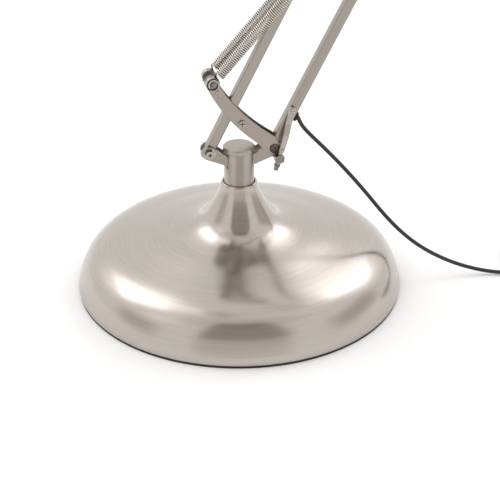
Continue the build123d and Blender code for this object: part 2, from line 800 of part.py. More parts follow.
# push switch on the crown, pressed down
SWITCH_AT = (HEAD_X, 19.0)
SWITCH_H = 9.0
BUTTON_R = 3.0
with BuildPart() as switch_body:
    with BuildSketch(Plane.XY.offset(CROWN_Z)):
        with Locations(SWITCH_AT):
            Circle(5.0)
    extrude(amount=SWITCH_H)
    fillet(switch_body.edges().group_by(Axis.Z)[-1], radius=0.8)
    with BuildSketch(Plane.XY.offset(CROWN_Z + 2.0)):
        with Locations(SWITCH_AT):
            Circle(BUTTON_R + RUNNING)
    extrude(amount=SWITCH_H, mode=Mode.SUBTRACT)

with BuildPart() as switch_button:
    with BuildSketch(Plane.XY.offset(CROWN_Z + 4.5)):
        with Locations(SWITCH_AT):
            Circle(BUTTON_R)
    extrude(amount=SWITCH_H)
    fillet(switch_button.edges().group_by(Axis.Z)[-1], radius=1.0)


# ---------------------------------------------------------------- mains cord
def cord_tube(name, points):
    """A cord along straight runs and tangent arcs, each arc as large as its two runs allow."""
    stops = [Vector(*point) for point in points]
    runs = [after - before for before, after in zip(stops, stops[1:])]
    radii = []
    for before, after in zip(runs, runs[1:]):
        half_turn = radians(before.get_angle(after)) / 2
        radii.append(0.45 * min(before.length, after.length) / tan(half_turn))
    with BuildPart() as tube:
        with BuildLine() as path:
            FilletPolyline(*stops, radius=radii)
        route = path.wires()[0]
        with BuildSketch(Plane(origin=route @ 0, z_dir=route % 0)):
            Circle(CORD_R)
        sweep()
    section = pi * CORD_R**2
    print(name, "radii", [round(radius, 1) for radius in radii])
    print(name, "runs", [round(run.length, 1) for run in runs])
    print(name, "length", round(route.length, 1))
    print(name, "volume / (section x length)", round(tube.part.volume / (section * route.length), 4))
    return tube.part


COIL_H = 2 * CORD_R * COIL_LAYERS
COIL_BAND = COIL_OUT_R - COIL_IN_R
COIL_MID_R = (COIL_OUT_R + COIL_IN_R) / 2
TIE_ANGLE = 150.0
TIE_T = 0.8
TIE_W = 10.0
with BuildPart() as cord_coil:
    with BuildSketch(Plane.XY):
        with Locations(COIL_CENTRE):
            Circle(COIL_OUT_R)
            Circle(COIL_IN_R, mode=Mode.SUBTRACT)
    extrude(amount=COIL_H)
    fillet(cord_coil.edges(), radius=2.2)

with BuildPart() as cord_tie:
    tie_out = Vector(cos(radians(TIE_ANGLE)), sin(radians(TIE_ANGLE)), 0)
    tie_centre = Vector(*COIL_CENTRE) + tie_out * COIL_MID_R
    tie_plane = Plane(origin=tie_centre, x_dir=tie_out, z_dir=(tie_out.Y, -tie_out.X, 0))
    with BuildSketch(tie_plane.offset(-TIE_W / 2)):
        with Locations((0, COIL_H / 2 + TIE_T)):
            RectangleRounded(COIL_BAND + 4 * TIE_T, COIL_H + 2 * TIE_T, 3.6)
            RectangleRounded(COIL_BAND + TIE_T, COIL_H - TIE_T, 2.4, mode=Mode.SUBTRACT)
    extrude(amount=TIE_W)

# two-pin plug lying beside the coil, pins towards +Y
PLUG_AT = (426.0, 20.0)
PLUG_T = 13.7
PLUG_W = 26.0
PLUG_L = 35.0
RELIEF_L = 20.0
PIN_SPACING = 18.6
PLUG_PIN_R = 2.0
PLUG_PIN_L = 19.0
plug_plane = Plane(origin=(PLUG_AT[0], PLUG_AT[1], PLUG_T / 2), x_dir=(1, 0, 0), z_dir=(0, 1, 0))
plug_face_y = RELIEF_L + PLUG_L
with BuildPart() as plug_body:
    with BuildSketch(plug_plane):
        Circle(CORD_R + 0.9)
    with BuildSketch(plug_plane.offset(RELIEF_L)):
        Circle(5.0)
    loft()
    with BuildSketch(plug_plane.offset(RELIEF_L - 1.0)):
        RectangleRounded(13.0, PLUG_T - 1.7, 5.9)
    with BuildSketch(plug_plane.offset(RELIEF_L + 12.0)):
        RectangleRounded(PLUG_W, PLUG_T, 5.9)
    loft()
    with BuildSketch(plug_plane.offset(RELIEF_L + 12.0)):
        RectangleRounded(PLUG_W, PLUG_T, 5.9)
    extrude(amount=PLUG_L - 12.0)

with BuildPart() as plug_pins:
    with BuildSketch(plug_plane.offset(plug_face_y)):
        with Locations((PIN_SPACING / 2, 0), (-PIN_SPACING / 2, 0)):
            Circle(PLUG_PIN_R)
    extrude(amount=PLUG_PIN_L)
    fillet(plug_pins.edges().group_by(Axis.Y)[-1], radius=1.0)

CORD_TAIL = [
    (420.1, -37.5, 2 * CORD_R),
    (423.8, -21.7, 2 * CORD_R),
    (PLUG_AT[0], 2.0, PLUG_T / 2),
    (PLUG_AT[0], PLUG_AT[1], PLUG_T / 2),
]

# ---------------------------------------------------------------- write every piece
nodes = {
    "base_shell": base_shell.part,
    "floor_pad": floor_pad.part,
    "base_weight": base_weight.part,
    "stem": stem.part,
    "stem_nut": stem_nut.part,
    "neck_bush": neck_bush.part,
    "post_sleeve": post_sleeve.part,
    "post_core": post_core.part,
    "post_cap": post_cap.part,
    "top_bush": top_bush.part,
    "set_screws": set_screws.part,
    "bracket_plate_front": bracket_plate(-PLATE_IN, True),
    "bracket_plate_rear": bracket_plate(PLATE_OUT, False),
    "bracket_bolt": pivot_bolts_part([FRONT_PIVOT]),
    "bracket_nut": pivot_nuts_part([FRONT_PIVOT]),
    "bracket_washers": pivot_washers_part([FRONT_PIVOT]),
    "rear_pivot_rivet": rear_pivot_rivet.part,
    "stop_spacers": stop_spacers.part,
    "stop_screws": stop_screws.part,
    "bracket_spring_pin": spring_pin_part(SPRING_PIN),
    "front_lower_tube": front_lower_tube,
    "front_lower_bushes": arm_bushes_part(FRONT_PIVOT, LOWER_DIR, RUNNING),
    "front_arm_spring_pin": spring_pin_part(FRONT_ARM_PIN),
    "lower_spring_front": spring_part(SPRING_PIN, FRONT_ARM_PIN, -SPRING_Y),
    "lower_spring_rear": spring_part(SPRING_PIN, FRONT_ARM_PIN, SPRING_Y),
    "rear_lower_tube": rear_lower_tube.part,
    "rear_lower_bushes": arm_bushes_part(REAR_PIVOT, LOWER_DIR, OPEN_PIVOT_GAP),
    "lower_lead": lower_lead.part,
    "cord_grommet": cord_grommet.part,
    "stay_screw": stay_screw.part,
    "stay_rod": stay_rod.part,
    "stay_nut": stay_nut.part,
    "stay_trunnion": stay_trunnion.part,
    "elbow_plates": elbow_plates_part(),
    "elbow_bolts": pivot_bolts_part([ELBOW_FRONT, ELBOW_REAR, MAIN_PIVOT, PARALLEL_PIVOT]),
    "elbow_nuts": pivot_nuts_part([ELBOW_FRONT, ELBOW_REAR, MAIN_PIVOT, PARALLEL_PIVOT]),
    "elbow_washers": pivot_washers_part([ELBOW_FRONT, ELBOW_REAR, MAIN_PIVOT, PARALLEL_PIVOT]),
    "elbow_spring_pin": spring_pin_part(ELBOW_PIN),
    "upper_main_tube": upper_main_tube,
    "upper_main_bushes": arm_bushes_part(MAIN_PIVOT, UPPER_DIR, RUNNING),
    "main_arm_spring_pin": spring_pin_part(MAIN_ARM_PIN),
    "upper_spring_front": spring_part(ELBOW_PIN, MAIN_ARM_PIN, -SPRING_Y),
    "upper_spring_rear": spring_part(ELBOW_PIN, MAIN_ARM_PIN, SPRING_Y),
    "upper_parallel_tube": upper_parallel_tube,
    "upper_parallel_bushes": arm_bushes_part(PARALLEL_PIVOT, UPPER_DIR, OPEN_PIVOT_GAP),
    "head_plates": head_plates_part(),
    "head_bolts": pivot_bolts_part([HEAD_MAIN, HEAD_PARALLEL, HEAD_PIVOT]),
    "head_nuts": pivot_nuts_part([HEAD_MAIN, HEAD_PARALLEL, HEAD_PIVOT]),
    "head_knuckle": head_knuckle.part,
    "shade": shade.part,
    "lampholder": lampholder.part,
    "bulb": bulb.part,
    "switch_body": switch_body.part,
    "switch_button": switch_button.part,
    "cord_run": cord_tube("cord_run", CORD_RUN),
    "cord_coil": cord_coil.part,
    "cord_tail": cord_tube("cord_tail", CORD_TAIL),
    "cord_tie": cord_tie.part,
    "plug_body": plug_body.part,
    "plug_pins": plug_pins.part,
}
for name, solid in nodes.items():
    solid.label = name
    export_step(solid, f"parts/{name}.step")
print(len(nodes), "nodes")
print("head pivot", HEAD_PIVOT, "crown", CROWN_Z)
print("lower pivots at the elbow", ELBOW_FRONT, ELBOW_REAR)
print("upper pivots", MAIN_PIVOT, PARALLEL_PIVOT, HEAD_MAIN, HEAD_PARALLEL)
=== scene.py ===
"""Looks of the spring-balanced architect lamp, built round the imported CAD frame. Lengths are in metres."""

from math import cos, pi, radians, sin

import bmesh
import bpy
import numpy as np
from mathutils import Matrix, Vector


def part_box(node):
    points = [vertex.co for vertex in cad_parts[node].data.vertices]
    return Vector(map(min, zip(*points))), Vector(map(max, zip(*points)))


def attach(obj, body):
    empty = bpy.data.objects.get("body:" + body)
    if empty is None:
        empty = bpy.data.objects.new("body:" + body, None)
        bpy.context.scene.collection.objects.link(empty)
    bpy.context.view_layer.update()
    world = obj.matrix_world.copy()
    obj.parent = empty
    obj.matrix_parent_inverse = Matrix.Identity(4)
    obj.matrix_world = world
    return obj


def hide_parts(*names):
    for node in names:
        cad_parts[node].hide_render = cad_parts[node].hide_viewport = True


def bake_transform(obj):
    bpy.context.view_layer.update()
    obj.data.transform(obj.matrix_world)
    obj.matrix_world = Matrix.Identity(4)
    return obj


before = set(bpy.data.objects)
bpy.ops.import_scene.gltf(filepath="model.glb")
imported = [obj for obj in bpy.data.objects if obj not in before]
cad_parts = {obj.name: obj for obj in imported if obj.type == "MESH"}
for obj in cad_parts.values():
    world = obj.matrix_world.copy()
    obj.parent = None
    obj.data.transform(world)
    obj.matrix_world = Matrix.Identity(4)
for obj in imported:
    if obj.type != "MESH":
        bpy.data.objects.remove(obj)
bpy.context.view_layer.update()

SCENE = bpy.context.scene
MM = 0.001
SAME_POINT = 1e-7

# ---------------------------------------------------------------- camera
CAMERA_AT = (-0.2767, -1.4234, 0.8592)
CAMERA_HEADING = 11.521
CAMERA_PITCH = 29.433
CAMERA_LENS = 96.5

camera = bpy.data.objects.new("camera", bpy.data.cameras.new("camera"))
camera.data.lens = CAMERA_LENS
camera.data.sensor_width = 36.0
camera.data.clip_start = 0.05
camera.data.clip_end = 60.0
camera.location = CAMERA_AT
camera.rotation_euler = (radians(90.0 - CAMERA_PITCH), 0.0, radians(-CAMERA_HEADING))
SCENE.collection.objects.link(camera)
SCENE.camera = camera
SCENE.view_settings.view_transform = "Standard"


# ---------------------------------------------------------------- helpers
def keep(name, mesh, material=None):
    """A new object in the scene that holds a mesh, smooth shaded, in one material if it is given."""
    obj = bpy.data.objects.new(name, mesh)
    SCENE.collection.objects.link(obj)
    if material:
        mesh.materials.append(material)
    for face in mesh.polygons:
        face.use_smooth = True
    return obj


def mesh_of(points, faces, name):
    """A mesh from points and faces."""
    mesh = bpy.data.meshes.new(name)
    mesh.from_pydata([tuple(p) for p in points], [], [tuple(f) for f in faces])
    mesh.update()
    return mesh


def rings_to_mesh(rings, closed_ring, name, cap=False):
    """A mesh through rings of points, all with the same number of points; cap closes both ends."""
    count = len(rings[0])
    points = [p for ring in rings for p in ring]
    faces = []
    last = count if closed_ring else count - 1
    for i in range(len(rings) - 1):
        for j in range(last):
            k = (j + 1) % count
            faces.append((i * count + j, i * count + k, (i + 1) * count + k, (i + 1) * count + j))
    if cap:
        faces.append(tuple(range(count))[::-1])
        faces.append(tuple((len(rings) - 1) * count + j for j in range(count)))
    return mesh_of(points, faces, name)


def tube(name, line, radius, sides, material):
    """A tube of round section along points, with its rings turned as little as possible."""
    line = [Vector(p) for p in line]
    tangents = []
    for i in range(len(line)):
        a, b = line[max(i - 1, 0)], line[min(i + 1, len(line) - 1)]
        tangents.append((b - a).normalized())
    side = tangents[0].orthogonal().normalized()
    turns = [2 * pi * j / sides for j in range(sides)]
    rings = []
    for i, (point, along) in enumerate(zip(line, tangents)):
        if i:
            side = tangents[i - 1].rotation_difference(along) @ side
            side = (side - along * side.dot(along)).normalized()
        other = along.cross(side)
        rings.append([point + (side * cos(turn) + other * sin(turn)) * radius for turn in turns])
    return keep(name, rings_to_mesh(rings, True, name, cap=True), material)


def clamped_spline(points, start_slope, end_slope, steps):
    """Points on a smooth curve through plane points, its end directions given."""
    given = np.array(points, float)
    n = len(given)
    chord = np.r_[0.0, np.cumsum(np.hypot(*np.diff(given, axis=0).T))]
    h = np.diff(chord)
    matrix, right = np.zeros((n, n)), np.zeros((n, 2))
    matrix[0, 0] = matrix[-1, -1] = 1.0
    right[0] = np.array(start_slope) / np.hypot(*start_slope)
    right[-1] = np.array(end_slope) / np.hypot(*end_slope)
    for i in range(1, n - 1):
        matrix[i, i - 1], matrix[i, i], matrix[i, i + 1] = h[i], 2 * (h[i - 1] + h[i]), h[i - 1]
        before = (given[i] - given[i - 1]) / h[i - 1]
        after = (given[i + 1] - given[i]) / h[i]
        right[i] = 3 * (h[i] * before + h[i - 1] * after)
    slopes = np.linalg.solve(matrix, right)
    curve = []
    for u in np.linspace(0.0, chord[-1], steps):
        i = int(np.clip(np.searchsorted(chord, u) - 1, 0, n - 2))
        x = (u - chord[i]) / h[i]
        curve.append(
            given[i] * (1 + 2 * x) * (1 - x) ** 2
            + given[i + 1] * x * x * (3 - 2 * x)
            + h[i] * (slopes[i] * x * (1 - x) ** 2 - slopes[i + 1] * x * x * (1 - x))
        )
    return curve


def lathe(name, profile, centre, segments, material):
    """A closed profile of radius and height, turned about an upright axis that crosses X at centre."""
    rings = []
    for step in range(segments):
        turn = 2 * pi * step / segments
        rings.append([(centre + r * cos(turn), r * sin(turn), z) for r, z in profile])
    rings.append(rings[0])
    mesh = rings_to_mesh(rings, False, name)
    work = bmesh.new()
    work.from_mesh(mesh)
    bmesh.ops.remove_doubles(work, verts=work.verts, dist=SAME_POINT)
    bmesh.ops.recalc_face_normals(work, faces=work.faces)
    work.to_mesh(mesh)
    work.free()
    return keep(name, mesh, material)


# ---------------------------------------------------------------- materials
GROOVE_DRIFT = 0.004  # how far the pattern of the grooves changes once round
ABOVE_ALL = 10.0
ACROSS_GROOVES = 0.25  # a quarter turn, so that highlights spread across the grooves


def node_tree(name):
    """A new material with its nodes, its links and its shader."""
    material = bpy.data.materials.new(name)
    material.use_nodes = True
    nodes, links = material.node_tree.nodes, material.node_tree.links
    return material, nodes, links, nodes["Principled BSDF"]


def noise(nodes, links, vector, scale, detail=3.0, rough=0.5):
    """A noise value at a place; most of it lies between 0.3 and 0.7."""
    made = nodes.new("ShaderNodeTexNoise")
    made.inputs["Scale"].default_value = scale
    made.inputs["Detail"].default_value = detail
    made.inputs["Roughness"].default_value = rough
    links.new(vector, made.inputs["Vector"])
    return made.outputs["Fac"]


def ramp(nodes, links, value, low, high, out_low, out_high):
    """A value between low and high, spread from out_low to out_high."""
    made = nodes.new("ShaderNodeMapRange")
    made.inputs["From Min"].default_value = low
    made.inputs["From Max"].default_value = high
    made.inputs["To Min"].default_value = out_low
    made.inputs["To Max"].default_value = out_high
    links.new(value, made.inputs["Value"])
    return made.outputs["Result"]


def spread(nodes, links, cloud, out_low=0.0, out_high=1.0):
    """A noise value's usual range, spread from out_low to out_high."""
    return ramp(nodes, links, cloud, 0.3, 0.7, out_low, out_high)


def combine(nodes, links, operation, first, second):
    """Two values added, multiplied or joined in another way."""
    made = nodes.new("ShaderNodeMath")
    made.operation = operation
    links.new(first, made.inputs[0])
    links.new(second, made.inputs[1])
    return made.outputs["Value"]


def vector_step(nodes, links, operation, first):
    """A vector operation whose first input is linked."""
    made = nodes.new("ShaderNodeVectorMath")
    made.operation = operation
    links.new(first, made.inputs[0])
    return made


def parts_of(nodes, links, place):
    """The X, Y and Z of a place."""
    parts = nodes.new("ShaderNodeSeparateXYZ")
    links.new(place, parts.inputs["Vector"])
    return parts.outputs


def tint(nodes, links, factor, first, second):
    """A colour between two colours."""
    made = nodes.new("ShaderNodeMix")
    made.data_type = "RGBA"
    made.inputs["A"].default_value = (*first, 1.0)
    made.inputs["B"].default_value = (*second, 1.0)
    links.new(factor, made.inputs["Factor"])
    return made.outputs["Result"]


def object_coordinates(nodes, links, centre=(0.0, 0.0, 0.0), turn=(0.0, 0.0, 0.0)):
    """Object coordinates moved to a centre and turned."""
    source = nodes.new("ShaderNodeTexCoord")
    moved = vector_step(nodes, links, "SUBTRACT", source.outputs["Object"])
    moved.inputs[1].default_value = centre
    mapped = nodes.new("ShaderNodeMapping")
    mapped.inputs["Rotation"].default_value = turn
    links.new(moved.outputs["Vector"], mapped.inputs["Vector"])
    return mapped.outputs["Vector"]


def bump(nodes, links, shader, height, strength, distance=0.0001):
    """A surface raised a little by a height value."""
    made = nodes.new("ShaderNodeBump")
    made.inputs["Strength"].default_value = strength
    made.inputs["Distance"].default_value = distance
    links.new(height, made.inputs["Height"])
    links.new(made.outputs["Normal"], shader.inputs["Normal"])


def spun_metal(name, light, dark, rough, centre_x=0.0, grooves=900.0, anisotropy=0.6):
    """Metal brushed round an upright axis: fine grooves that follow the turning."""
    material, nodes, links, shader = node_tree(name)
    place = object_coordinates(nodes, links, (centre_x, 0.0, 0.0))
    parts = parts_of(nodes, links, place)
    flat = nodes.new("ShaderNodeCombineXYZ")
    links.new(parts["X"], flat.inputs["X"])
    links.new(parts["Y"], flat.inputs["Y"])
    radius = vector_step(nodes, links, "LENGTH", flat.outputs["Vector"])
    unit = vector_step(nodes, links, "NORMALIZE", flat.outputs["Vector"])
    slow = vector_step(nodes, links, "SCALE", unit.outputs["Vector"])
    slow.inputs["Scale"].default_value = GROOVE_DRIFT
    rings = nodes.new("ShaderNodeCombineXYZ")
    links.new(radius.outputs["Value"], rings.inputs["X"])
    links.new(parts["Z"], rings.inputs["Z"])
    grain = vector_step(nodes, links, "ADD", rings.outputs["Vector"])
    links.new(slow.outputs["Vector"], grain.inputs[1])
    fine = noise(nodes, links, grain.outputs["Vector"], grooves, 4.0, 0.65)
    broad = noise(nodes, links, grain.outputs["Vector"], grooves / 12.0, 2.0)
    cloud = noise(nodes, links, place, 14.0, 3.0)
    links.new(tint(nodes, links, spread(nodes, links, fine), dark, light), shader.inputs["Base Color"])
    ringed = spread(nodes, links, broad, -0.02, 0.02)
    clouded = spread(nodes, links, cloud, rough - 0.03, rough + 0.03)
    links.new(combine(nodes, links, "ADD", ringed, clouded), shader.inputs["Roughness"])
    shader.inputs["Metallic"].default_value = 1.0
    shader.inputs["Anisotropic"].default_value = anisotropy
    shader.inputs["Anisotropic Rotation"].default_value = ACROSS_GROOVES
    tangent = nodes.new("ShaderNodeTangent")
    tangent.direction_type = "RADIAL"
    tangent.axis = "Z"
    links.new(tangent.outputs["Tangent"], shader.inputs["Tangent"])
    bump(nodes, links, shader, fine, 0.12)
    return material


def brushed_metal(name, light, dark, rough, lean):
    """Metal brushed along a direction in the XZ plane, lean degrees up from +X."""
    material, nodes, links, shader = node_tree(name)
    place = object_coordinates(nodes, links, turn=(0.0, radians(lean), 0.0))
    stretched = nodes.new("ShaderNodeMapping")
    stretched.inputs["Scale"].default_value = (0.03, 1.0, 1.0)
    links.new(place, stretched.inputs["Vector"])
    fine = noise(nodes, links, stretched.outputs["Vector"], 700.0, 4.0, 0.6)
    cloud = noise(nodes, links, place, 26.0, 3.0)
    links.new(tint(nodes, links, spread(nodes, links, fine), dark, light), shader.inputs["Base Color"])
    streaked = spread(nodes, links, fine, -0.04, 0.04)
    clouded = spread(nodes, links, cloud, rough - 0.03, rough + 0.03)
    links.new(combine(nodes, links, "ADD", streaked, clouded), shader.inputs["Roughness"])
    shader.inputs["Metallic"].default_value = 1.0
    bump(nodes, links, shader, fine, 0.15)
    return material


def polished_metal(name, light, dark, rough, spots=90.0):
    """Plated metal with faint blotches and fine scratches."""
    material, nodes, links, shader = node_tree(name)
    place = object_coordinates(nodes, links)
    cloud = noise(nodes, links, place, spots, 4.0)
    fine = noise(nodes, links, place, 1500.0, 2.0)
    blotch = ramp(nodes, links, cloud, 0.35, 0.65, 0.0, 1.0)
    links.new(tint(nodes, links, blotch, dark, light), shader.inputs["Base Color"])
    links.new(spread(nodes, links, cloud, rough * 0.7, rough * 1.3), shader.inputs["Roughness"])
    shader.inputs["Metallic"].default_value = 1.0
    bump(nodes, links, shader, fine, 0.08, 0.00005)
    return material


def wire_metal(name, light, groove_painted_shade, rough):
    """Spring wire, bright on the outside of each turn and darker towards its inside, as painted shade in the
    grooves between turns.
    """
    material, nodes, links, shader = node_tree(name)
    place = object_coordinates(nodes, links)
    depth = nodes.new("ShaderNodeAttribute")
    depth.attribute_name = "outward"
    cloud = noise(nodes, links, place, 400.0, 3.0)
    # painted groove shade: the inside of each turn takes the dark colour, with a little noise at its edge
    outward_with_noise = combine(nodes, links, "ADD", depth.outputs["Fac"], spread(nodes, links, cloud, -0.06, 0.06))
    out_of_painted_shade = ramp(nodes, links, outward_with_noise, 0.55, 0.9, 0.0, 1.0)
    links.new(tint(nodes, links, out_of_painted_shade, groove_painted_shade, light), shader.inputs["Base Color"])
    links.new(spread(nodes, links, cloud, rough * 0.8, rough * 1.2), shader.inputs["Roughness"])
    shader.inputs["Metallic"].default_value = 1.0
    return material


def recess_shaded_metal(name, light, dark, rough, front, top=ABOVE_ALL):
    """Plated metal with painted shade in its recesses: dark behind the Y of its front face, up to the height
    top.
    """
    material, nodes, links, shader = node_tree(name)
    place = object_coordinates(nodes, links)
    parts = parts_of(nodes, links, place)
    cloud = noise(nodes, links, place, 300.0, 4.0)
    behind = ramp(nodes, links, parts["Y"], front + 0.15 * MM, front + 0.6 * MM, 0.0, 1.0)
    low = ramp(nodes, links, parts["Z"], top, top + 4 * MM, 1.0, 0.0)
    # painted recess shade: behind the front face and below the height top
    painted_recess_shade = combine(nodes, links, "MULTIPLY", behind, low)
    links.new(tint(nodes, links, painted_recess_shade, light, dark), shader.inputs["Base Color"])
    links.new(spread(nodes, links, cloud, rough * 0.75, rough * 1.25), shader.inputs["Roughness"])
    shader.inputs["Metallic"].default_value = 1.0
    return material


def moulded(name, light, dark, rough, grain=900.0, strength=0.25, specular=0.5, coat=0.0):
    """Plastic, rubber or paint with a fine moulded grain."""
    material, nodes, links, shader = node_tree(name)
    place = object_coordinates(nodes, links)
    fine = noise(nodes, links, place, grain, 4.0, 0.6)
    cloud = noise(nodes, links, place, 45.0, 3.0)
    links.new(tint(nodes, links, cloud, dark, light), shader.inputs["Base Color"])
    links.new(spread(nodes, links, fine, rough - 0.06, rough + 0.06), shader.inputs["Roughness"])
    shader.inputs["Specular IOR Level"].default_value = specular
    shader.inputs["Coat Weight"].default_value = coat
    bump(nodes, links, shader, fine, strength)
    return material


NICKEL, NICKEL_DARK = (0.53, 0.487, 0.445), (0.475, 0.434, 0.395)
POST_NICKEL, POST_NICKEL_DARK = (0.62, 0.575, 0.53), (0.55, 0.505, 0.465)
CAP_NICKEL, CAP_NICKEL_DARK = (0.45, 0.41, 0.372), (0.4, 0.364, 0.33)
STAY_NICKEL, STAY_NICKEL_DARK = (0.47, 0.43, 0.39), (0.42, 0.38, 0.345)
# the plates' and tubes' nickel is a darker copy of the base's: painted shade for the darker studio floor
# that they reflect
SHEET_NICKEL_PAINTED_SHADE, SHEET_NICKEL_PAINTED_SHADE_DARK = (0.395, 0.355, 0.318), (0.35, 0.312, 0.278)
BRIGHT, BRIGHT_DARK = (0.53, 0.49, 0.45), (0.43, 0.39, 0.355)
BOLT_NICKEL, BOLT_PAINTED_RECESS_SHADE = (0.43, 0.395, 0.36), (0.1, 0.085, 0.07)
STOP_PAINTED_RECESS_SHADE = (0.1, 0.08, 0.068)
DULL, DULL_DARK = (0.31, 0.283, 0.255), (0.19, 0.17, 0.152)
# the rear pivot rivet's dark colour is painted shade for the shadowed pivot behind the stay
RIVET_PAINTED_SHADE, RIVET_PAINTED_SHADE_DARK = (0.17, 0.125, 0.1), (0.05, 0.035, 0.03)
RUBBER, RUBBER_DARK = (0.022, 0.022, 0.023), (0.014, 0.014, 0.015)
SHEATH, SHEATH_DARK = (0.024, 0.024, 0.026), (0.016, 0.016, 0.018)
BLACK, BLACK_DARK = (0.02, 0.02, 0.022), (0.013, 0.013, 0.014)
BOLT_FRONT_Y = -14.0 * MM
STOP_FRONT_Y = -10.6 * MM
STOP_PAINTED_SHADE_TOP_Z = 235.0 * MM  # between the two stop screws: only the lower one gets painted shade in its recesses

base_metal = spun_metal("spun_nickel_base", NICKEL, NICKEL_DARK, 0.2, anisotropy=0.4)
post_metal = spun_metal(
    "spun_nickel_post", POST_NICKEL, POST_NICKEL_DARK, 0.42, grooves=1400.0, anisotropy=1.0
)
cap_metal = brushed_metal("brushed_nickel_cap", CAP_NICKEL, CAP_NICKEL_DARK, 0.36, lean=12.0)
plate_metal = brushed_metal("brushed_nickel_plates", SHEET_NICKEL_PAINTED_SHADE, SHEET_NICKEL_PAINTED_SHADE_DARK, 0.34, lean=-40.0)
lower_metal = brushed_metal("brushed_nickel_lower_tubes", SHEET_NICKEL_PAINTED_SHADE, SHEET_NICKEL_PAINTED_SHADE_DARK, 0.33, lean=63.0)
upper_metal = brushed_metal("brushed_nickel_upper_tubes", SHEET_NICKEL_PAINTED_SHADE, SHEET_NICKEL_PAINTED_SHADE_DARK, 0.33, lean=120.0)
stay_metal = brushed_metal("brushed_nickel_stay", STAY_NICKEL, STAY_NICKEL_DARK, 0.33, lean=74.5)
fastener_metal = polished_metal("plated_fasteners", BRIGHT, BRIGHT_DARK, 0.2)
# its dark second colour is painted shade in the grooves between the turns
spring_metal = wire_metal("spring_wire", (0.66, 0.62, 0.57), (0.1, 0.085, 0.072), 0.24)
# bolt heads and the lower stop screw get painted shade in their recesses
bolt_metal = recess_shaded_metal("plated_bolts", BOLT_NICKEL, BOLT_PAINTED_RECESS_SHADE, 0.24, BOLT_FRONT_Y)
stop_metal = recess_shaded_metal(
    "plated_stop_screws", SHEET_NICKEL_PAINTED_SHADE, STOP_PAINTED_RECESS_SHADE, 0.26, STOP_FRONT_Y, top=STOP_PAINTED_SHADE_TOP_Z
)
pin_steel = polished_metal("pin_steel", (0.3, 0.28, 0.26), (0.22, 0.2, 0.185), 0.3)
dull_metal = polished_metal("dull_nickel", DULL, DULL_DARK, 0.24, spots=350.0)
# painted shade: a dark rivet head where the pivot lies in shadow
rivet_painted_shade = polished_metal("painted_shade_rivet", RIVET_PAINTED_SHADE, RIVET_PAINTED_SHADE_DARK, 0.32, spots=420.0)
dark_steel = polished_metal("dark_steel", (0.12, 0.115, 0.11), (0.07, 0.066, 0.062), 0.4)
pin_metal = polished_metal("plug_pin_metal", (0.78, 0.74, 0.66), (0.66, 0.6, 0.5), 0.2)
rubber = moulded("black_rubber", RUBBER, RUBBER_DARK, 0.6, grain=1400.0, strength=0.35, specular=0.35)
cord_sheath = moulded("cord_sheath", SHEATH, SHEATH_DARK, 0.45, grain=1800.0, strength=0.2)
black_plastic = moulded("black_plastic", BLACK, BLACK_DARK, 0.3, grain=1200.0, strength=0.12)
nylon = moulded("nylon", (0.62, 0.6, 0.55), (0.52, 0.5, 0.45), 0.45)
enamel = moulded("white_enamel", (0.86, 0.85, 0.82), (0.8, 0.79, 0.76), 0.3, grain=300.0, strength=0.05)
opal = moulded(
    "opal_glass", (0.9, 0.89, 0.86), (0.84, 0.83, 0.8), 0.12, grain=120.0, strength=0.02, coat=0.6
)

# ---------------------------------------------------------------- mains cord
CORD_R = 2.4 * MM
CORD_STEPS = 12
CORD_SIDES = 14
CORD_EXIT = (0.0717, 0.0, 0.2141)
GROMMET_MOUTH = (0.0693, 0.0, 0.2153)
CORD_RUN = [
    CORD_EXIT,
    (0.0748, -0.0009, 0.2047),
    (0.0892, -0.0032, 0.1885),
    (0.1121, -0.008, 0.165),
    (0.147, -0.015, 0.1245),
    (0.186, -0.024, 0.073),
    (0.221, -0.032, 0.040),
    (0.262, -0.041, 0.017),
    (0.304, -0.0505, 0.0044),
    (0.341, -0.060, 0.0024),
]
COIL_CENTRE = (0.38154, -0.02896)
COIL_START = radians(-102.5)
COIL_TURNS = 8.25
POINTS_PER_TURN = 24
OUTER_TURN_R = 39.0
INNER_TURN_R = 19.8
FLOOR_LAYER_Z = 2.4
UPPER_LAYER_Z = 7.2
CLIMB_FROM, CLIMB_TO = 4.0, 4.3  # turns between which the innermost turn climbs to the upper layer
CORD_TAIL = [
    (0.4215, -0.0295, 0.0066),
    (0.4248, -0.0150, 0.0062),
    (0.426, 0.002, 0.00685),
    (0.426, 0.024, 0.00685),
]


def coil_point(turns):
    """The cord's middle after a number of turns: a flat spiral inward, a climb and a second one outward."""
    climb = min(max((turns - CLIMB_FROM) / (CLIMB_TO - CLIMB_FROM), 0.0), 1.0)
    pitch = 2 * CORD_R / MM
    r = max(OUTER_TURN_R - pitch * turns, INNER_TURN_R) + pitch * max(turns - CLIMB_TO, 0.0)
    z = FLOOR_LAYER_Z + (UPPER_LAYER_Z - FLOOR_LAYER_Z) * climb * climb * (3 - 2 * climb)
    turn = COIL_START + 2 * pi * turns
    return (COIL_CENTRE[0] + r * MM * cos(turn), COIL_CENTRE[1] + r * MM * sin(turn), z * MM)


